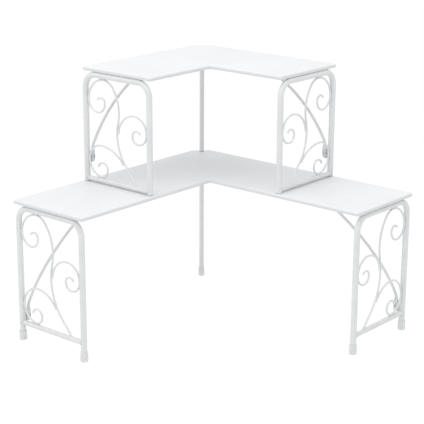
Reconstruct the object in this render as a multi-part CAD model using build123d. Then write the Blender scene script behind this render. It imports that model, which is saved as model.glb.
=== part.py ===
from build123d import *
from dataclasses import dataclass
import math
import os

# Two-tier corner shelf riser: a small L-shaped shelf that stands on a larger one.
# Millimetres, +Z up. The origin is the centre of the lower corner foot's base.
# The right arm runs along +X and the left arm along -Y, so the walls are at +Y and -X.
#
# An end frame is drawn in its own flat frame and then stood at the end of the right arm:
# x runs from the rear (wall side) leg to the front leg, y is height, z points inboard.
# The left arm's parts are mirror images across the shelf's diagonal.

# ---- stock ----
LEG_D = 9.5
BAR_D = 8.0
POST_D = 8.0
TUBE_WALL = 1.0
WIRE_D = 3.2
WIRE_TIP_R = 1.2
ROD_D = 4.6
PLATE_T = 2.0
HOLE_CUT = 2 * PLATE_T    # a hole cutter's length, past both faces of a plate

# ---- shelf boards ----
BOARD_T = 6.35
BOARD_EDGE_R = 2.5
BOARD_CLIP = 23.0
CLIP_CORNER_R = 8.0
ARM_CORNER_R = 5.0
INNER_CORNER_R = 3.0

# ---- end frames ----
FRAME_W = 137.0
FRAME_BEND_R = 22.0
EAR_FROM_LEG = 30.0
EAR_W = 14.0
EAR_REACH = 18.0
EAR_CORNER_R = 4.0
EAR_SCREW_AT = 11.5

# ---- scrollwork: bends are (radius, degrees turned), from the point that touches the frame ----
TOUCH = (LEG_D + WIRE_D) / 2
BAR_TOUCH = (BAR_D + WIRE_D) / 2
STEM_CURL = ((33.0, 90), (20.0, 90), (15.5, 90), (8.5, 90), (9.0, 60))
STEM_CREST_R = 24.0
STEM_CREST_TURN = 50.0
STEM_SHOULDER_TURN = 55.0
MIDDLE_CURL = ((18.0, -90), (12.0, -90), (9.0, -90), (9.0, -60))
MIDDLE_CREST_R = 26.0
LOW_CURL = ((26.5, 90), (12.8, 90), (10.6, 90), (10.0, 80))

# ---- braces: x runs inboard from the rear leg's axis, y is height ----
BRACE_OFFSET = 2.0
BRACE_FOOT_X = 11.0
BRACE_FOOT_TOP = 53.0
BRACE_FOOT_BEND_R = 12.0
BRACE_TOP_BEND_R = 10.0
PADDLE_W = 7.6
PADDLE_L = 20.0
NECK_L = 5.0
NECK_OVERLAP = 2.0
TAB_SCREW_BACK = 6.0
LUG_H = (29.0, 48.0)
LUG_REACH = 15.0
LUG_CORNER_R = 3.0
BOLT_H = 39.0

# ---- corner posts ----
CORNER_PLATE_W = 15.0
CORNER_PLATE_L = 30.0
CORNER_SCREWS = (13.0, 25.0)

# ---- feet ----
CAP_WALL = 1.2
CAP_H = 16.0
CAP_FLOOR = 2.5
CAP_SHOULDER_H = 3.0
CAP_TOP_EXTRA = 0.6
CAP_BASE_R = 1.5
PLUG_HEAD_H = 1.5
PLUG_HEAD_R_LESS = 0.15
PLUG_DEPTH = 10.0
PLUG_RIB_H = 1.2
PLUG_CORE_LESS = 0.35

# ---- fasteners ----
SCREW_D = 3.5
SCREW_HEAD_D = 7.0
SCREW_HEAD_H = 2.2
SCREW_HEAD_R = 1.3
SCREW_BITE = 5.0
SCREW_POINT = 1.2
SCREW_HOLE_D = 4.0
CROSS_L = 4.2
CROSS_W = 0.9
CROSS_DEPTH = 1.2
BOLT_D = 4.0
BOLT_HEAD_D = 6.0
BOLT_HOLE_D = 4.2
BOLT_PAST_NUT = 1.0
NUT_FLATS = 7.0
NUT_H = 3.2


@dataclass
class Tier:
    """The dimensions that differ between the lower and the upper shelf unit."""

    name: str
    base: float            # height the unit stands at
    height: float          # its own height, to the shelf's top face
    arm: float             # outer length of each arm
    depth: float           # front-to-back width of each arm
    frame_inset: float     # leg axes in from the board's edges and ends
    post_inset: float      # corner post axis in from both wall edges
    tube_start: float      # height of the tubes' cut ends
    crossbar_h: float
    shoulder_r: float      # stem scroll, between its crest and its long sweep
    sweep: tuple           # stem scroll's long lower bend
    middle_touch_h: float  # where the middle scroll touches the front leg
    low_side_r: float      # low scroll's bend from the rear leg up to its crest
    brace_bends: tuple     # brace, from its foot up to its straight run

    @property
    def underside(self):
        return self.height - BOARD_T

    @property
    def bar_h(self):
        return self.underside - LEG_D / 2

    @property
    def corner(self):
        return (-self.post_inset, self.post_inset, self.base)


LOWER = Tier("lower", 0.0, 229.0, 441.0, 151.0, 6.5, 19.0, CAP_FLOOR,
             29.3, 70.0, (93.0, 57), 124.6, 31.0,
             ((BRACE_FOOT_BEND_R, -27), (190.0, -15), (390.0, -14)))
UPPER = Tier("upper", LOWER.height, 186.0, 287.0, 146.0, 4.0, 17.0, PLUG_HEAD_H,
             PLUG_HEAD_H + BAR_D / 2, 62.0, (72.0, 54), 94.2, 25.0,
             ((BRACE_FOOT_BEND_R, -29), (225.0, -29)))

DIAGONAL = Plane(origin=(0, 0, 0), z_dir=(1, 1, 0))
DIAGONAL_TURN = -45.0


# ---- helpers ----
def chain(start, heading, bends):
    """Edges of a bent wire: each bend is (radius, turn), or (length, 0) for a straight."""
    edges = []
    point = Vector(*start)
    direction = Vector(1, 0, 0).rotate(Axis.Z, heading)
    for size, turn in bends:
        if turn:
            edge = JernArc(point, direction, size, turn)
        else:
            edge = Line(point, point + direction * size)
        edges.append(edge)
        point = edge @ 1
        direction = edge % 1
    return edges


def bent_rod(edges, diameter):
    path = Wire(edges)
    section = Plane(origin=path @ 0, z_dir=path % 0) * Circle(diameter / 2)
    return sweep(section, path=path)


def scroll_wire(branch, curl):
    """A scroll bent both ways from the point it touches, with its curl's tip dressed round."""
    wire = bent_rod(branch[::-1] + curl, WIRE_D)
    tip = wire.faces().sort_by_distance(curl[-1] @ 1)[0]
    return fillet(tip.edges(), WIRE_TIP_R)


def upright_tube(diameter, bottom, top):
    ring = Circle(diameter / 2) - Circle(diameter / 2 - TUBE_WALL)
    return Pos(0, 0, bottom) * extrude(ring, top - bottom)


def rounded(face, corners, radius):
    return fillet([face.vertices().sort_by_distance(c)[0] for c in corners], radius)


def at_right(tier, piece):
    """Stand a piece drawn in the end frame's flat frame at the end of the right arm."""
    x, y, z = tier.corner
    stand = Plane(
        origin=(x + tier.arm - tier.frame_inset, y - tier.frame_inset, z),
        x_dir=(0, -1, 0),
        z_dir=(-1, 0, 0),
    )
    return stand * piece


def at_left(tier, piece):
    return mirror(at_right(tier, piece), about=DIAGONAL)


def solids(pieces):
    return [s for p in pieces for s in p.solids()]


# ---- boards ----
def board(tier, screws):
    a, d, c = tier.arm, tier.depth, BOARD_CLIP
    outline = make_face(Polyline(
        (c, 0), (a, 0), (a, -d), (d, -d), (d, -a), (0, -a), (0, -c), close=True
    ))
    outline = rounded(outline, [(c, 0), (0, -c)], CLIP_CORNER_R)
    outline = rounded(outline, [(a, 0), (a, -d), (d, -a), (0, -a)], ARM_CORNER_R)
    outline = rounded(outline, [(d, -d)], INNER_CORNER_R)
    slab = extrude(outline, BOARD_T)
    rims = slab.faces().sort_by(Axis.Z)[0].edges() + slab.faces().sort_by(Axis.Z)[-1].edges()
    slab = fillet(rims, BOARD_EDGE_R)
    x, y, z = tier.corner
    return Pos(x, y, z + tier.underside) * slab - screws


# ---- end frames ----
def hoop_path(tier):
    run = FRAME_W - 2 * FRAME_BEND_R
    rise = tier.bar_h - FRAME_BEND_R - tier.tube_start
    bends = ((rise, 0), (FRAME_BEND_R, -90), (run, 0), (FRAME_BEND_R, -90), (rise, 0))
    return chain((0, tier.tube_start), 90, bends)


def hoop(tier):
    path = hoop_path(tier)
    return bent_rod(path, LEG_D) - bent_rod(path, LEG_D - 2 * TUBE_WALL)


def crossbar(tier):
    """The lower rail, with its ends coped to sit on the legs."""
    ring = Circle(BAR_D / 2) - Circle(BAR_D / 2 - TUBE_WALL)
    rail = Plane(origin=(0, tier.crossbar_h, 0), z_dir=(1, 0, 0)) * extrude(ring, FRAME_W)
    return rail - bent_rod(hoop_path(tier), LEG_D)


def ear(tier, along):
    """A plate welded to the inboard side of the top bar, flat under the board."""
    plate = Pos(0, EAR_REACH / 2) * Rectangle(EAR_W, EAR_REACH)
    far = [(-EAR_W / 2, EAR_REACH), (EAR_W / 2, EAR_REACH)]
    plate = rounded(plate, far, EAR_CORNER_R) - Pos(0, EAR_SCREW_AT) * Circle(SCREW_HOLE_D / 2)
    flat = Plane(origin=(along, tier.underside, 0), x_dir=(1, 0, 0), z_dir=(0, -1, 0))
    return flat * extrude(plate, PLATE_T) - bent_rod(hoop_path(tier), LEG_D)


# ---- scrollwork ----
def stem_upper(tier):
    """The stem's crest, shoulder and sweep, followed from the top bar towards the rail."""
    crest = (TOUCH + STEM_CURL[0][0], tier.bar_h - TOUCH)
    bends = (
        (STEM_CREST_R, -STEM_CREST_TURN),
        (tier.shoulder_r, -STEM_SHOULDER_TURN),
        tier.sweep,
    )
    return crest, chain(crest, 0, bends)


def stem_scroll(tier):
    """The main wire: up from the rail, over under the top bar and into its curl."""
    crest, downward = stem_upper(tier)
    foot = downward[-1] @ 1
    lean = downward[-1] % 1
    straight = Line(foot, foot + lean * (foot.Y - tier.crossbar_h) / -lean.Y)
    curl = chain(crest, 180, STEM_CURL)
    wire = scroll_wire(downward + [straight], curl)
    rail = Plane(origin=(0, tier.crossbar_h, 0), z_dir=(1, 0, 0)) * Cylinder(
        BAR_D / 2, FRAME_W, align=(Align.CENTER, Align.CENTER, Align.MIN)
    )
    return wire - rail


def middle_scroll(tier):
    """Leaves the stem's sweep side by side with it, inside the bend."""
    sweep_arc = stem_upper(tier)[1][-1]
    centre = sweep_arc.arc_center
    crest_x = FRAME_W - TOUCH - MIDDLE_CREST_R
    across = crest_x - centre.X
    above = tier.middle_touch_h + MIDDLE_CREST_R - centre.Y
    inner = tier.sweep[0] - WIRE_D
    radius = (inner**2 - across**2 - above**2) / (2 * (inner - above))
    angle = math.degrees(math.atan2(above - radius, across)) % 360
    touch = (FRAME_W - TOUCH, tier.middle_touch_h)
    branch = chain(touch, 90, ((MIDDLE_CREST_R, 90), (radius, angle - 90)))
    curl = chain(touch, -90, MIDDLE_CURL)
    return scroll_wire(branch, curl)


def low_scroll(tier):
    """Leaves the stem's sweep on its outside, touches the rear leg and sits on the rail."""
    sweep_arc = stem_upper(tier)[1][-1]
    centre = sweep_arc.arc_center
    side = (TOUCH, tier.crossbar_h + BAR_TOUCH + LOW_CURL[0][0])
    across = centre.X - (TOUCH + tier.low_side_r)
    above = centre.Y - (side[1] + tier.low_side_r)
    outer = tier.sweep[0] + WIRE_D
    radius = (across**2 + above**2 - outer**2) / (2 * (outer - above))
    angle = math.degrees(math.atan2(above + radius, across))
    branch = chain(side, 90, ((tier.low_side_r, -90), (radius, angle - 90)))
    curl = chain(side, -90, LOW_CURL)
    return scroll_wire(branch, curl)


# ---- braces ----
def at_brace(piece):
    """Move a piece drawn as (inboard, height) into the end frame's flat frame."""
    return Plane(origin=(BRACE_OFFSET, 0, 0), x_dir=(0, 0, 1), z_dir=(-1, 0, 0)) * piece


def brace_path(tier):
    bends = list(tier.brace_bends)
    path = chain((BRACE_FOOT_X, BRACE_FOOT_TOP), 90, bends)
    slope = 90 + sum(turn for _, turn in bends)
    drop = BRACE_TOP_BEND_R * (1 - math.cos(math.radians(slope)))
    rise = tier.underside - ROD_D / 2 - drop - (path[-1] @ 1).Y
    bends += [(rise / math.sin(math.radians(slope)), 0), (BRACE_TOP_BEND_R, -slope)]
    return chain((BRACE_FOOT_X, BRACE_FOOT_TOP), 90, bends)


def brace_tab_end(tier):
    """How far inboard of the rear leg the brace's top tab reaches."""
    return (brace_path(tier)[-1] @ 1).X + PADDLE_L


def flattened(round_end, flat_end):
    """The neck where the rod is pressed from round to flat."""
    return loft([
        round_end * Circle(ROD_D / 2),
        flat_end * Ellipse(PADDLE_W / 2, PLATE_T / 2),
    ])


def brace(tier):
    path = brace_path(tier)
    top = path[-1] @ 1
    foot = Vector(BRACE_FOOT_X, BRACE_FOOT_TOP)
    foot_neck = flattened(
        Plane(origin=foot, x_dir=(1, 0, 0), z_dir=(0, -1, 0)),
        Plane(origin=foot - (0, NECK_L), x_dir=(1, 0, 0), z_dir=(0, -1, 0)),
    )
    tab_h = tier.underside - PLATE_T / 2
    top_neck = flattened(
        Plane(origin=top, x_dir=(0, 0, 1), z_dir=(1, 0, 0)),
        Plane(origin=(top.X + NECK_L, tab_h), x_dir=(0, 0, 1), z_dir=(1, 0, 0)),
    )
    blank = SlotOverall(PADDLE_L, PADDLE_W)
    paddle_mid = foot.Y - NECK_L + NECK_OVERLAP - PADDLE_L / 2
    paddle = Pos(foot.X, paddle_mid) * Rot(0, 0, 90) * extrude(blank, PLATE_T / 2, both=True)
    tab = Plane(
        origin=(brace_tab_end(tier) - PADDLE_L / 2, tab_h), x_dir=(1, 0, 0), z_dir=(0, 1, 0)
    ) * extrude(blank, PLATE_T / 2, both=True)
    rod = bent_rod(path, ROD_D) + foot_neck + paddle + top_neck + tab
    bolt_hole = Pos(BRACE_FOOT_X, BOLT_H) * Cylinder(BOLT_HOLE_D / 2, HOLE_CUT)
    tab_hole = Plane(
        origin=(brace_tab_end(tier) - TAB_SCREW_BACK, tab_h), z_dir=(0, 1, 0)
    ) * Cylinder(SCREW_HOLE_D / 2, HOLE_CUT)
    return at_brace(rod - bolt_hole - tab_hole)


def lug(tier):
    """The plate welded to the rear leg that the brace is bolted to."""
    low, high = LUG_H
    plate = Pos(LUG_REACH / 2, (low + high) / 2) * Rectangle(LUG_REACH, high - low)
    plate = rounded(plate, [(LUG_REACH, low), (LUG_REACH, high)], LUG_CORNER_R)
    plate -= Pos(BRACE_FOOT_X, BOLT_H) * Circle(BOLT_HOLE_D / 2)
    slab = Pos(0, 0, BRACE_OFFSET) * extrude(plate, PLATE_T / 2, both=True)
    return at_brace(slab) - bent_rod(hoop_path(tier), LEG_D)


# ---- corner posts ----
def corner_post(tier):
    return Pos(0, 0, tier.base) * upright_tube(POST_D, tier.tube_start, tier.underside - PLATE_T)


def corner_plate(tier):
    """Closes the post's top and carries its screws, pointing in along the diagonal."""
    plate = Pos(CORNER_PLATE_L / 2, 0) * SlotCenterToCenter(CORNER_PLATE_L, CORNER_PLATE_W)
    for reach in CORNER_SCREWS:
        plate -= Pos(reach, 0) * Circle(SCREW_HOLE_D / 2)
    bottom = tier.base + tier.underside - PLATE_T
    return Pos(0, 0, bottom) * Rot(0, 0, DIAGONAL_TURN) * extrude(plate, PLATE_T)


# ---- feet ----
def foot_cap(tube_d):
    """A push-on cap: a cup with a sloped shoulder, drawn with its base at z = 0."""
    bore = tube_d / 2
    wall = bore + CAP_WALL
    cup = make_face(Polyline(
        (0, 0), (wall, 0), (wall, CAP_H - CAP_SHOULDER_H), (bore + CAP_TOP_EXTRA, CAP_H),
        (bore, CAP_H), (bore, CAP_FLOOR), (0, CAP_FLOOR), close=True
    ))
    cup = rounded(cup, [(wall, 0)], CAP_BASE_R)
    return revolve(Plane.XZ * cup, Axis.Z)


def tube_plug(tube_d):
    """A push-in plug: a thin head under the tube's end and a ribbed shank inside it."""
    bore = tube_d / 2 - TUBE_WALL
    head = Cylinder(
        tube_d / 2 - PLUG_HEAD_R_LESS, PLUG_HEAD_H, align=(Align.CENTER, Align.CENTER, Align.MIN)
    )
    core = Cylinder(
        bore - PLUG_CORE_LESS, PLUG_DEPTH, align=(Align.CENTER, Align.CENTER, Align.MIN)
    )
    plug = head + Pos(0, 0, PLUG_HEAD_H) * core
    for z in (PLUG_HEAD_H + PLUG_RIB_H, PLUG_HEAD_H + PLUG_DEPTH - 2 * PLUG_RIB_H):
        rib = Cylinder(bore, PLUG_RIB_H, align=(Align.CENTER, Align.CENTER, Align.MIN))
        plug += Pos(0, 0, z) * rib
    return plug


def at_leg(tier, along, piece):
    """Stand a foot drawn about Z under one leg of the end frame."""
    return Plane(origin=(along, 0, 0), x_dir=(1, 0, 0), z_dir=(0, 1, 0)) * piece


# ---- fasteners ----
def pan_head(diameter, height):
    """A domed head below z = 0 with a cross recess."""
    head = Cylinder(diameter / 2, height, align=(Align.CENTER, Align.CENTER, Align.MAX))
    head = fillet(head.edges().sort_by(Axis.Z)[0], SCREW_HEAD_R)
    slot = Box(CROSS_L, CROSS_W, CROSS_DEPTH, align=(Align.CENTER, Align.CENTER, Align.MIN))
    return head - Pos(0, 0, -height) * (slot + Rot(0, 0, 90) * slot)


def screw():
    """A pan-head screw pointing up through a plate, its head seated at z = 0."""
    length = PLATE_T + SCREW_BITE
    profile = make_face(Polyline(
        (0, 0), (SCREW_D / 2, 0), (SCREW_D / 2, length - SCREW_POINT), (0, length), close=True
    ))
    return pan_head(SCREW_HEAD_D, SCREW_HEAD_H) + revolve(Plane.XZ * profile, Axis.Z)


def brace_bolt():
    """The bolt through the brace's paddle and the lug, from the front."""
    length = 2 * PLATE_T + NUT_H + BOLT_PAST_NUT
    shank = Cylinder(BOLT_D / 2, length, align=(Align.CENTER, Align.CENTER, Align.MIN))
    bolt = pan_head(BOLT_HEAD_D, SCREW_HEAD_H) + shank
    return at_bolt(BRACE_OFFSET + PLATE_T / 2, bolt)


def brace_nut():
    """The nut behind the lug."""
    lug_back = BRACE_OFFSET - PLATE_T / 2 - PLATE_T
    hexagon = RegularPolygon(NUT_FLATS / 2, 6, major_radius=False) - Circle(BOLT_D / 2)
    return at_bolt(lug_back, extrude(hexagon, NUT_H))


def at_bolt(along, piece):
    """Turn a piece drawn about Z onto the bolt's axis, pointing towards the wall."""
    seat = Plane(origin=(along, BOLT_H, BRACE_FOOT_X), x_dir=(0, 1, 0), z_dir=(-1, 0, 0))
    return seat * piece


def frame_screws(tier):
    """Upward screws in one end frame: two in the ears and one in the brace's top tab."""
    seat_h = tier.underside - PLATE_T
    places = [(x, seat_h, EAR_SCREW_AT) for x in (EAR_FROM_LEG, FRAME_W - EAR_FROM_LEG)]
    places.append((BRACE_OFFSET, seat_h, brace_tab_end(tier) - TAB_SCREW_BACK))
    return [Plane(origin=p, x_dir=(1, 0, 0), z_dir=(0, 1, 0)) * screw() for p in places]


def all_screws(tier):
    screws = [at_right(tier, s) for s in frame_screws(tier)]
    screws += [at_left(tier, s) for s in frame_screws(tier)]
    seat = tier.base + tier.underside - PLATE_T
    for reach in CORNER_SCREWS:
        screws.append(Rot(0, 0, DIAGONAL_TURN) * Pos(reach, 0, seat) * screw())
    return screws


# ---- assembly ----
def frame_parts(tier):
    return {
        "hoop": hoop(tier),
        "crossbar": crossbar(tier),
        "rear_ear": ear(tier, EAR_FROM_LEG),
        "front_ear": ear(tier, FRAME_W - EAR_FROM_LEG),
        "stem_scroll": stem_scroll(tier),
        "middle_scroll": middle_scroll(tier),
        "low_scroll": low_scroll(tier),
        "brace_lug": lug(tier),
        "brace": brace(tier),
    }


def tier_parts(tier, foot_name, foot):
    nodes = {}
    for part, piece in frame_parts(tier).items():
        nodes[f"right_{part}"] = at_right(tier, piece)
        nodes[f"left_{part}"] = at_left(tier, piece)
    for leg, along in (("rear", 0), ("front", FRAME_W)):
        piece = at_leg(tier, along, foot(LEG_D))
        nodes[f"right_{leg}_{foot_name}"] = at_right(tier, piece)
        nodes[f"left_{leg}_{foot_name}"] = at_left(tier, piece)
    nodes[f"corner_{foot_name}"] = Pos(0, 0, tier.base) * foot(POST_D)
    nodes["corner_post"] = corner_post(tier)
    nodes["corner_plate"] = corner_plate(tier)
    screws = all_screws(tier)
    nodes["board"] = board(tier, screws)
    nodes["screws"] = Compound(solids(screws))
    for part, piece in (("brace_bolts", brace_bolt()), ("brace_nuts", brace_nut())):
        pair = [at_right(tier, piece), at_left(tier, piece)]
        nodes[part] = Compound(solids(pair))
    return {f"{tier.name}_{name}": shape for name, shape in nodes.items()}


os.makedirs("parts", exist_ok=True)
parts = tier_parts(LOWER, "foot_cap", foot_cap) | tier_parts(UPPER, "tube_plug", tube_plug)
for name, shape in parts.items():
    export_step(shape, f"parts/{name}.step")
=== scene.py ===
import math
import random

import bmesh
import bpy
from mathutils import Matrix, Vector
from mathutils.bvhtree import BVHTree


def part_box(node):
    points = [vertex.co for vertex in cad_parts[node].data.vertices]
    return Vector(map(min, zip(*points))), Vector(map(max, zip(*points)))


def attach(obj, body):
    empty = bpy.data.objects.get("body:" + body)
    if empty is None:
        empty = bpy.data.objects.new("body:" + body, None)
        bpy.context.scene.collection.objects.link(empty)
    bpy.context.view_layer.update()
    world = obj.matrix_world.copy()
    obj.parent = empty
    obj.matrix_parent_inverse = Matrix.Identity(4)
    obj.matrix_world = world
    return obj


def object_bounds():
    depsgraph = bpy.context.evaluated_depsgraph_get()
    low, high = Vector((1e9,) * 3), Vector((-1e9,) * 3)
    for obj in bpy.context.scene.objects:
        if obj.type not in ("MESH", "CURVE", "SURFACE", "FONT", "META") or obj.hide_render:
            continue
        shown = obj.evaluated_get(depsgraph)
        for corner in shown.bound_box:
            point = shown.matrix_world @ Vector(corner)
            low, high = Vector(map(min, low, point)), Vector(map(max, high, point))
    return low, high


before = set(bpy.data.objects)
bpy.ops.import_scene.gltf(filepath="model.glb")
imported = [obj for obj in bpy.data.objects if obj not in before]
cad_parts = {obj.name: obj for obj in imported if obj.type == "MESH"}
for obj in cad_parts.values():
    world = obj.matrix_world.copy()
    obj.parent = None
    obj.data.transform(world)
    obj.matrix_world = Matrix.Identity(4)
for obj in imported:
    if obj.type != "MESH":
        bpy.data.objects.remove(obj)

MM = 0.001

# ---- camera ----
CAMERA_AZIMUTH = 40.31  # degrees round from facing the left arm's end, towards the right arm's
CAMERA_ELEVATION = 16.64
CAMERA_ROLL = 0.277
CAMERA_DISTANCE = 2.087
CAMERA_LENS = 114.08  # in mm, as is the sensor
SENSOR_WIDTH = 36.0
CAMERA_AIM_FROM_CENTRE = Vector((-2.9, -4.0, -3.9)) * MM

# ---- stage and light ----
FLOOR_SIZE = 14.0
FLOOR_GLOW = 1.04
FLOOR_LIFT = (0.3, 0.9)  # share of glow in what the object gets, and in what the camera sees
FLOOR_DROP = 0.05 * MM  # keeps the floor clear of the feet it carries
SKY_FILL = 0.75  # how bright the sky is for the object; the camera sees it at 1
SKY_COLOUR = (0.985, 0.995, 1.0, 1.0)
TOP_LIGHT_FROM_CENTRE = Vector((0.25, -0.35, 1.9))
TOP_LIGHT_SIZE = 2.4
TOP_LIGHT_POWER = 23.5
SIDE_LIGHT_FROM_CENTRE = Vector((-1.6, -1.9, 1.0))
SIDE_LIGHT_SIZE = 1.6
SIDE_LIGHT_POWER = 6.0

# ---- finishes ----
NOISE_MIDDLE = (0.35, 0.65)  # the band that holds most of a noise's values
NOISE_WIDE = (0.3, 0.7)
RIM_NORMALS = (0.96, 0.55)  # share of up or down in the normal where a rim starts, and is full; the rim's darker grey is painted shade on the board's sides
SCUFF_PEAKS = (0.66, 0.74)  # noise values where a board's scuffs start, and are full
RUB_PEAKS = (0.70, 0.78)  # the same for the rubbed spots on the frames
GRIT_BAND = (0.35, 0.6)  # noise values where the grit on the soles thickens
CREVICE_REACH = 4 * MM
CREVICE_BAND = (0.25, 0.85)  # openness where the painted shade is darkest, and where it ends
CREVICE_SAMPLES = 6
SOLE_HEIGHT = 1.2 * MM

# ---- weld beads ----
CONTACT_GAP = 0.3 * MM  # pieces nearer than this are touching
CONTACT_SPREAD = 9 * MM  # contacts further apart than this are separate welds
WIRE_WELD = Vector((3.4, 1.25, 1.5)) * MM  # half length, half thickness, half width
BEAD_R = 0.85 * MM
BEAD_STEPS = 56
BEAD_SIDES = 10
BEAD_DABS = 14  # swellings round a closed bead
BEAD_SWELL = 0.13  # of its radius
BEAD_LUMPS = 0.06
NUGGET_STEPS = 9  # along a wire weld
NUGGET_SIDES = 12
NUGGET_WAVES = 5  # half waves along a wire weld
NUGGET_SWELL = 0.07
NUGGET_LUMPS = 0.03
ROUND_CONTACT = 0.2 * MM  # a contact smaller than this has no length of its own
STEEP = 0.9  # where a seam climbs more than this, its cross-section is set out from X, not Z
WELD_SEED = 11

TIERS = ("lower", "upper")
SIDES = ("right", "left")
WIRES = ("stem_scroll", "middle_scroll", "low_scroll")

UP = Vector((0, 0, 1))

cad_low, cad_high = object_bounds()


# ---- materials ----
class Nodes:
    """A material being built: adds shader nodes and links them up."""

    def __init__(self, name):
        self.material = bpy.data.materials.new(name)
        self.material.use_nodes = True
        self.tree = self.material.node_tree
        self.tree.nodes.clear()
        self.shader = self.add("ShaderNodeBsdfPrincipled")
        self.output = self.add("ShaderNodeOutputMaterial")
        self.link(self.shader.outputs[0], self.output.inputs["Surface"])
        self.place = self.add("ShaderNodeTexCoord").outputs["Object"]

    def add(self, kind, **settings):
        node = self.tree.nodes.new(kind)
        for name, value in settings.items():
            setattr(node, name, value)
        return node

    def link(self, source, target):
        self.tree.links.new(source, target)

    def feed(self, socket, value):
        """Link a node output into a socket, or set the socket to a plain value."""
        if isinstance(value, bpy.types.NodeSocket):
            self.link(value, socket)
        else:
            socket.default_value = value

    def set(self, **inputs):
        for name, value in inputs.items():
            self.feed(self.shader.inputs[name.replace("_", " ")], value)

    def stretched(self, scale):
        """The object's coordinates scaled by a vector, for streaks along one axis."""
        mapping = self.add("ShaderNodeMapping")
        mapping.inputs["Scale"].default_value = scale
        self.link(self.place, mapping.inputs["Vector"])
        return mapping.outputs[0]

    def noise(self, size, detail=2.0, roughness=0.5, place=None):
        """Cloudy noise whose blobs are about `size` metres across."""
        node = self.add("ShaderNodeTexNoise")
        node.inputs["Scale"].default_value = 1 / size
        node.inputs["Detail"].default_value = detail
        node.inputs["Roughness"].default_value = roughness
        self.link(place or self.place, node.inputs["Vector"])
        return node.outputs[0]

    def ramp(self, value, low, high, start=0.0, end=1.0):
        """`value` from low..high mapped onto start..end."""
        node = self.add("ShaderNodeMapRange")
        names = ("Value", "From Min", "From Max", "To Min", "To Max")
        for name, number in zip(names, (value, low, high, start, end)):
            self.feed(node.inputs[name], number)
        return node.outputs[0]

    def spread(self, noise, start=0.0, end=1.0, band=NOISE_MIDDLE):
        """A noise's usual values stretched over start..end."""
        return self.ramp(noise, *band, start, end)

    def math(self, operation, a, b=0.0):
        node = self.add("ShaderNodeMath", operation=operation)
        self.feed(node.inputs[0], a)
        self.feed(node.inputs[1], b)
        return node.outputs[0]

    def mix(self, share, a, b):
        """Colour a turning into colour b as the share goes from 0 to 1."""
        node = self.add("ShaderNodeMix", data_type="RGBA")
        self.feed(node.inputs["Factor"], share)
        self.feed(node.inputs["A"], a)
        self.feed(node.inputs["B"], b)
        return node.outputs["Result"]

    def layer(self, share, under, over):
        """Two shaders mixed, with `share` of the second."""
        node = self.add("ShaderNodeMixShader")
        self.feed(node.inputs[0], share)
        self.link(under.outputs[0], node.inputs[1])
        self.link(over.outputs[0], node.inputs[2])
        return node

    def bump(self, height, depth, strength=1.0, normal=None):
        """A surface that rises up to `depth` metres, on top of another bump if one is given."""
        node = self.add("ShaderNodeBump")
        node.inputs["Strength"].default_value = strength
        node.inputs["Distance"].default_value = depth
        self.link(height, node.inputs["Height"])
        if normal:
            self.link(normal, node.inputs["Normal"])
        return node.outputs[0]

    def facing_up(self):
        """The upward share of the surface's direction: 1 on top, 0 on sides, -1 underneath."""
        geometry = self.add("ShaderNodeNewGeometry")
        parts = self.add("ShaderNodeSeparateXYZ")
        self.link(geometry.outputs["Normal"], parts.inputs[0])
        return parts.outputs["Z"]

    def height(self):
        """How high the surface is in the piece's own coordinates."""
        parts = self.add("ShaderNodeSeparateXYZ")
        self.link(self.place, parts.inputs[0])
        return parts.outputs["Z"]

    def crevice(self, reach):
        """1 on open surfaces, lower within `reach` of a neighbouring surface."""
        node = self.add("ShaderNodeAmbientOcclusion", samples=CREVICE_SAMPLES)
        node.inputs["Distance"].default_value = reach
        return node.outputs["AO"]


def grey(level, tint=0.0):
    """A near-neutral colour; a positive tint is cooler."""
    return (level * (1 - tint), level, level * (1 + tint), 1.0)


def board_paint():
    """Satin lacquer on fibreboard: faintly clouded faces, and rougher, scuffed rims with raised
    fibre, painted greyer as shade on the sides.
    """
    look = Nodes("board_paint")
    rim_and_side_shade = look.ramp(look.math("ABSOLUTE", look.facing_up()), *RIM_NORMALS)
    cloud = look.spread(look.noise(90 * MM, detail=3))
    face = look.mix(cloud, grey(0.80, 0.012), grey(0.835, 0.006))
    fibre = look.noise(0.6 * MM, detail=4, roughness=0.7, place=look.stretched((1, 1, 2.5)))
    # painted shade: the sides get a darker grey than the faces, carrying the edge's real fibre
    # texture and scuffs
    edge_shade_and_wear = look.mix(look.spread(fibre), grey(0.70, 0.01), grey(0.78, 0.006))
    scuff = look.ramp(look.noise(14 * MM, detail=5, roughness=0.75), *SCUFF_PEAKS, end=0.35)
    edge_shade_and_wear = look.mix(look.math("MULTIPLY", scuff, rim_and_side_shade), edge_shade_and_wear, grey(0.56, -0.01))
    look.set(Base_Color=look.mix(rim_and_side_shade, face, edge_shade_and_wear))
    gloss = look.spread(look.noise(35 * MM, detail=4, roughness=0.6), 0.34, 0.44, NOISE_WIDE)
    look.set(Roughness=look.math("ADD", gloss, look.math("MULTIPLY", rim_and_side_shade, 0.14)))
    look.set(Coat_Weight=0.15, Coat_Roughness=0.3)
    peel = look.bump(look.noise(2.6 * MM), depth=0.02 * MM, strength=0.6)
    raised = look.math("MULTIPLY", fibre, rim_and_side_shade)
    grain = look.bump(raised, depth=0.05 * MM, strength=0.5, normal=peel)
    speck = look.noise(0.9 * MM)
    look.set(Normal=look.bump(speck, depth=0.006 * MM, strength=0.5, normal=grain))
    return look.material


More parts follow.
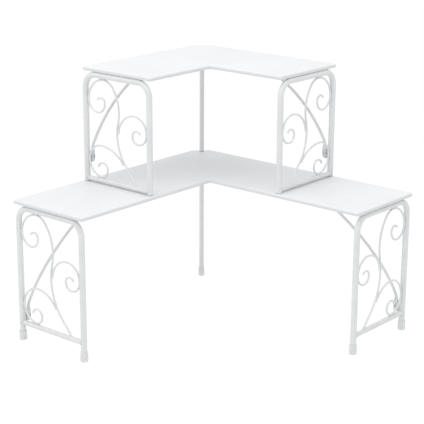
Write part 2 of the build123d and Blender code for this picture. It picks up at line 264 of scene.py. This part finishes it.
def frame_paint():
    """White powder coat: orange peel, rubbed spots, and painted shade that greys the corners by
    the welds.
    """
    look = Nodes("frame_paint")
    cloud = look.spread(look.noise(26 * MM, detail=3))
    coat = look.mix(cloud, grey(0.74, 0.008), grey(0.78, 0.004))
    # painted shade: the coat turns towards grey(0.52) where ambient occlusion finds another
    # surface within reach
    painted_crevice_shade = look.ramp(look.crevice(CREVICE_REACH), *CREVICE_BAND, start=0.45, end=0.0)
    coat = look.mix(painted_crevice_shade, coat, grey(0.52))
    rub = look.ramp(look.noise(11 * MM, detail=6, roughness=0.8), *RUB_PEAKS, end=0.3)
    coat = look.mix(rub, coat, grey(0.58, -0.01))
    look.set(Base_Color=coat)
    look.set(Roughness=look.spread(look.noise(7 * MM, detail=3), 0.26, 0.38, NOISE_WIDE))
    look.set(Coat_Weight=0.25, Coat_Roughness=0.18)
    peel = look.bump(look.noise(1.3 * MM), depth=0.035 * MM, strength=0.8)
    speck = look.noise(0.35 * MM)
    look.set(Normal=look.bump(speck, depth=0.008 * MM, strength=0.6, normal=peel))
    return look.material


def cap_vinyl():
    """Dipped milky vinyl: soft, translucent and a touch green, scuffed at the counter."""
    look = Nodes("cap_vinyl")
    milk = (0.775, 0.80, 0.79, 1.0)
    thin = (0.72, 0.745, 0.735, 1.0)
    body = look.mix(look.spread(look.noise(5 * MM, detail=3), band=NOISE_WIDE), thin, milk)
    sole = look.ramp(look.height(), 0.0, SOLE_HEIGHT, start=0.6, end=0.0)
    grit = look.ramp(look.noise(0.8 * MM, detail=4, roughness=0.7), *GRIT_BAND, start=0.25)
    body = look.mix(look.math("MULTIPLY", sole, grit), body, grey(0.48, -0.01))
    look.set(Base_Color=body)
    look.set(Roughness=look.spread(look.noise(2 * MM, detail=3), 0.24, 0.40, NOISE_WIDE))
    look.set(Subsurface_Weight=0.5, Subsurface_Scale=2.5 * MM)
    look.set(Subsurface_Radius=(0.9, 1.0, 0.95))
    runs = look.noise(3 * MM, place=look.stretched((1, 1, 0.25)))
    drips = look.bump(runs, depth=0.12 * MM, strength=0.5)
    skin = look.noise(0.4 * MM, detail=3)
    look.set(Normal=look.bump(skin, depth=0.012 * MM, strength=0.5, normal=drips))
    return look.material


def plug_plastic():
    """Moulded polyethylene: matt and greyer than the paint, with faint flow marks."""
    look = Nodes("plug_plastic")
    flow = look.noise(4 * MM, detail=4, roughness=0.6, place=look.stretched((1, 1, 3)))
    body = look.mix(look.spread(flow, band=NOISE_WIDE), grey(0.50, 0.01), grey(0.60, 0.006))
    look.set(Base_Color=body)
    look.set(Roughness=look.spread(look.noise(1.5 * MM, detail=3), 0.42, 0.58, NOISE_WIDE))
    look.set(Subsurface_Weight=0.2, Subsurface_Scale=1 * MM)
    look.set(Subsurface_Radius=(1.0, 1.0, 1.0))
    skin = look.noise(0.5 * MM, detail=3)
    look.set(Normal=look.bump(skin, depth=0.015 * MM, strength=0.5))
    return look.material


def zinc_steel():
    """Bright zinc plate with a faint straw and blue bloom and fine turning lines."""
    look = Nodes("zinc_steel")
    blue = (0.60, 0.61, 0.64, 1.0)
    straw = (0.68, 0.67, 0.62, 1.0)
    look.set(Base_Color=look.mix(look.spread(look.noise(3 * MM, detail=3)), blue, straw))
    look.set(Metallic=1.0)
    haze = look.noise(0.9 * MM, detail=4, roughness=0.7)
    look.set(Roughness=look.spread(haze, 0.24, 0.42, NOISE_WIDE))
    lines = look.noise(0.25 * MM, place=look.stretched((0.3, 0.3, 1.6)))
    look.set(Normal=look.bump(lines, depth=0.01 * MM, strength=0.5))
    return look.material


def weld_paint():
    """The same powder coat where it runs over the rippled weld metal."""
    look = Nodes("weld_paint")
    ripple = look.noise(0.7 * MM, detail=3, roughness=0.6)
    coat = look.mix(look.spread(ripple, band=NOISE_WIDE), grey(0.64, 0.004), grey(0.71, 0.004))
    look.set(Base_Color=coat)
    look.set(Roughness=look.spread(look.noise(2 * MM, detail=3), 0.30, 0.44, NOISE_WIDE))
    look.set(Coat_Weight=0.2, Coat_Roughness=0.2)
    look.set(Normal=look.bump(ripple, depth=0.12 * MM, strength=0.6))
    return look.material


def studio_paper():
    """Matt paper with a glow that keeps shadows faint, and clear when seen from below."""
    look = Nodes("studio_paper")
    tooth = look.noise(3 * MM, detail=3)
    look.set(Base_Color=look.mix(tooth, grey(0.86), grey(0.88)), Roughness=0.95)
    glow = look.add("ShaderNodeEmission")
    glow.inputs["Strength"].default_value = FLOOR_GLOW
    seen = look.add("ShaderNodeLightPath").outputs["Is Camera Ray"]
    lifted = look.layer(look.ramp(seen, 0.0, 1.0, *FLOOR_LIFT), look.shader, glow)
    below = look.add("ShaderNodeNewGeometry").outputs["Backfacing"]
    clear = look.add("ShaderNodeBsdfTransparent")
    one_sided = look.layer(below, lifted, clear)
    look.link(one_sided.outputs[0], look.output.inputs["Surface"])
    return look.material


FINISHES = {
    "board_paint": board_paint,
    "frame_paint": frame_paint,
    "cap_vinyl": cap_vinyl,
    "plug_plastic": plug_plastic,
    "zinc_steel": zinc_steel,
}


def finish_of(node):
    """The material slot each node belongs to, by what the piece is."""
    if node.endswith("_board"):
        return "board_paint"
    if node.endswith("_foot_cap"):
        return "cap_vinyl"
    if node.endswith("_tube_plug"):
        return "plug_plastic"
    if node.endswith(("_screws", "_nuts")):
        return "zinc_steel"
    return "frame_paint"


def placed(name, data):
    """A new object in the scene, showing a mesh, a lamp or a camera."""
    thing = bpy.data.objects.new(name, data)
    bpy.context.scene.collection.objects.link(thing)
    return thing


def dress_cad_nodes():
    """Give each CAD node its finish and name its material slot."""
    made = {name: build() for name, build in FINISHES.items()}
    for name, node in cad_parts.items():
        finish = made[finish_of(name)]
        for slot in node.material_slots:
            slot.material = finish


# ---- weld beads ----
def surface(node):
    """A CAD node's surface, ready for nearest-point questions."""
    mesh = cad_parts[node].data
    return BVHTree.FromPolygons([v.co for v in mesh.vertices], [p.vertices for p in mesh.polygons])


def touching_points(wire, other):
    """The wire's vertices that lie on the other piece's surface."""
    tree = surface(other)
    found = []
    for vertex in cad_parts[wire].data.vertices:
        nearest = tree.find_nearest(vertex.co, CONTACT_GAP)
        if nearest[0] is not None:
            found.append(vertex.co.copy())
    return found


def clusters(points):
    """Groups of points, each group a weld of its own."""
    groups = []
    for point in points:
        near = [g for g in groups if any((point - q).length < CONTACT_SPREAD for q in g)]
        merged = [point] + [q for g in near for q in g]
        groups = [g for g in groups if g not in near] + [merged]
    return groups


def centre_of(points):
    return sum(points, Vector()) / len(points)


def length_direction(points, centre):
    """The way the longest spread of the points runs."""
    far = max(points, key=lambda q: (q - centre).length)
    reach = far - centre
    return reach.normalized() if reach.length > ROUND_CONTACT else UP


def ring_point(mesh, start, sides, ring, turn):
    """One point of a ring, where the rings follow each other from point `start` on."""
    return mesh.verts[start + ring * sides + turn % sides]


def join_rings(mesh, start, sides, rings, closed=False):
    """Faces between each ring and the next; a closed run ends back at its first ring."""
    for i in range(rings if closed else rings - 1):
        following = (i + 1) % rings
        for k in range(sides):
            mesh.faces.new((
                ring_point(mesh, start, sides, i, k),
                ring_point(mesh, start, sides, i, k + 1),
                ring_point(mesh, start, sides, following, k + 1),
                ring_point(mesh, start, sides, following, k),
            ))


def cap_rings(mesh, start, sides, ring, tip):
    """Faces from one ring to a single point."""
    for k in range(sides):
        corners = [ring_point(mesh, start, sides, ring, k + step) for step in (0, 1)]
        mesh.faces.new((tip, *corners))


def nugget(mesh, centre, along, across, half, rng):
    """A lumpy lens of weld metal: an ellipsoid whose skin ripples along its length."""
    along = (along - across * along.dot(across)).normalized()
    thick = across.cross(along)
    start = len(mesh.verts)
    phase = rng.uniform(0, 2 * math.pi)
    for i in range(1, NUGGET_STEPS):
        lean = math.pi * i / NUGGET_STEPS
        swell = NUGGET_SWELL * math.sin(NUGGET_WAVES * lean + phase)
        girth = 1 + swell + rng.uniform(-NUGGET_LUMPS, NUGGET_LUMPS)
        for k in range(NUGGET_SIDES):
            turn = 2 * math.pi * k / NUGGET_SIDES
            mesh.verts.new(
                centre
                - along * half.x * math.cos(lean)
                + thick * half.y * girth * math.sin(lean) * math.cos(turn)
                + across * half.z * girth * math.sin(lean) * math.sin(turn)
            )
    tips = [mesh.verts.new(centre + along * half.x * way) for way in (-1, 1)]
    mesh.verts.ensure_lookup_table()
    rings = NUGGET_STEPS - 1
    join_rings(mesh, start, NUGGET_SIDES, rings)
    cap_rings(mesh, start, NUGGET_SIDES, 0, tips[0])
    cap_rings(mesh, start, NUGGET_SIDES, rings - 1, tips[1])


def bead_ring(mesh, points, rng):
    """A closed bead along a ring of points, swelling and shrinking with each dab of weld."""
    count = len(points)
    start = len(mesh.verts)
    for i, point in enumerate(points):
        forward = (points[(i + 1) % count] - points[i - 1]).normalized()
        steady = UP if abs(forward.z) < STEEP else Vector((1, 0, 0))
        side = forward.cross(steady).normalized()
        other = forward.cross(side)
        swell = BEAD_SWELL * math.sin(BEAD_DABS * 2 * math.pi * i / count)
        dab = BEAD_R * (1 + swell + rng.uniform(-BEAD_LUMPS, BEAD_LUMPS))
        for k in range(BEAD_SIDES):
            turn = 2 * math.pi * k / BEAD_SIDES
            mesh.verts.new(point + side * dab * math.cos(turn) + other * dab * math.sin(turn))
    mesh.verts.ensure_lookup_table()
    join_rings(mesh, start, BEAD_SIDES, count, closed=True)


def fishmouth(leg, leg_r, bar, bar_r, along, across):
    """The closed seam where a bar's end sits on a leg, as a ring of points."""
    ring = []
    for i in range(BEAD_STEPS):
        turn = 2 * math.pi * i / BEAD_STEPS
        sideways = bar_r * math.cos(turn)
        out = math.sqrt(leg_r ** 2 - sideways ** 2)
        ring.append(Vector((
            leg.x + along.x * out + across.x * sideways,
            leg.y + along.y * out + across.y * sideways,
            bar.z + bar_r * math.sin(turn),
        )))
    return ring


def end_frame_welds(tier, side, rng):
    """All the weld metal of one end frame, as one mesh."""
    prefix = f"{tier}_{side}_"
    mesh = bmesh.new()
    inboard = Vector((-1, 0, 0)) if side == "right" else Vector((0, 1, 0))
    along = Vector((0, 1, 0)) if side == "right" else Vector((1, 0, 0))

    low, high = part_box(prefix + "hoop")
    bar_low, bar_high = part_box(prefix + "crossbar")
    leg_r = abs((high - low).dot(inboard)) / 2
    bar_r = (bar_high.z - bar_low.z) / 2
    bar = (bar_low + bar_high) / 2
    span = abs((high - low).dot(along)) / 2 - leg_r
    for way in (-1, 1):
        leg = (low + high) / 2 + along * span * way
        bead_ring(mesh, fishmouth(leg, leg_r, bar, bar_r, along * -way, inboard), rng)

    for wire in WIRES:
        for other in ("hoop", "crossbar", *WIRES[:WIRES.index(wire)]):
            for group in clusters(touching_points(prefix + wire, prefix + other)):
                centre = centre_of(group)
                nugget(mesh, centre, length_direction(group, centre), inboard, WIRE_WELD, rng)
    return mesh


def smooth_piece(name, mesh, material):
    """A smooth-shaded piece from a bmesh, with all its faces turned outward."""
    bmesh.ops.recalc_face_normals(mesh, faces=mesh.faces)
    data = bpy.data.meshes.new(name)
    mesh.to_mesh(data)
    mesh.free()
    for face in data.polygons:
        face.use_smooth = True
    data.materials.append(material)
    return placed(name, data)


def add_welds():
    """The weld metal of the four end frames, each moving with its own unit."""
    rng = random.Random(WELD_SEED)
    paint = weld_paint()
    for tier in TIERS:
        for side in SIDES:
            mesh = end_frame_welds(tier, side, rng)
            welds = smooth_piece(f"{tier}_{side}_frame_welds", mesh, paint)
            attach(welds, f"{tier}_unit")


# ---- stage, light and camera ----
def studio_floor():
    """A large pale sheet just under the feet."""
    half = FLOOR_SIZE / 2
    mesh = bmesh.new()
    for x, y in ((-half, -half), (half, -half), (half, half), (-half, half)):
        mesh.verts.new((x, y, cad_low[2] - FLOOR_DROP))
    mesh.faces.new(mesh.verts)
    data = bpy.data.meshes.new("studio_floor")
    mesh.to_mesh(data)
    mesh.free()
    data.materials.append(studio_paper())
    floor = placed("studio_floor", data)


def area_light(name, place, target, size, power):
    """A square lamp that faces its target."""
    light = bpy.data.lights.new(name, "AREA")
    light.size = size
    light.energy = power
    lamp = placed(name, light)
    lamp.location = place
    lamp.rotation_euler = (target - place).to_track_quat("-Z", "Y").to_euler()


def studio_light(centre):
    """An even pale sky, a big softbox above and a weak one at the side."""
    world = bpy.data.worlds.new("studio")
    bpy.context.scene.world = world
    world.use_nodes = True
    tree = world.node_tree
    backdrop = tree.nodes["Background"]
    path = tree.nodes.new("ShaderNodeLightPath")
    level = tree.nodes.new("ShaderNodeMapRange")
    level.inputs["To Min"].default_value = SKY_FILL
    level.inputs["To Max"].default_value = 1.0
    tree.links.new(path.outputs["Is Camera Ray"], level.inputs["Value"])
    tree.links.new(level.outputs[0], backdrop.inputs["Strength"])
    backdrop.inputs["Color"].default_value = SKY_COLOUR

    above = centre + TOP_LIGHT_FROM_CENTRE
    area_light("softbox_top", above, centre, TOP_LIGHT_SIZE, TOP_LIGHT_POWER)
    beside = centre + SIDE_LIGHT_FROM_CENTRE
    area_light("softbox_left", beside, centre, SIDE_LIGHT_SIZE, SIDE_LIGHT_POWER)


def camera(centre):
    """A long lens at the front of the corner, turned, lifted and rolled to its place."""
    turn = math.radians(CAMERA_AZIMUTH)
    lift = math.radians(CAMERA_ELEVATION)
    roll = math.radians(CAMERA_ROLL)
    flat = math.cos(lift)
    back = Vector((math.sin(turn) * flat, -math.cos(turn) * flat, math.sin(lift)))
    right = Vector((math.cos(turn), math.sin(turn), 0))
    up = back.cross(right)
    tilted_right = right * math.cos(roll) + up * math.sin(roll)
    tilted_up = up * math.cos(roll) - right * math.sin(roll)
    data = bpy.data.cameras.new("camera")
    data.lens = CAMERA_LENS
    data.sensor_width = SENSOR_WIDTH
    eye = placed("camera", data)
    axes = Matrix((tilted_right, tilted_up, back)).transposed().to_4x4()
    place = centre + CAMERA_AIM_FROM_CENTRE + back * CAMERA_DISTANCE
    eye.matrix_world = Matrix.Translation(place) @ axes
    bpy.context.scene.camera = eye


centre = (Vector(cad_low) + Vector(cad_high)) / 2
dress_cad_nodes()
add_welds()
studio_floor()
studio_light(centre)
camera(centre)
bpy.context.scene.view_settings.view_transform = "Standard"
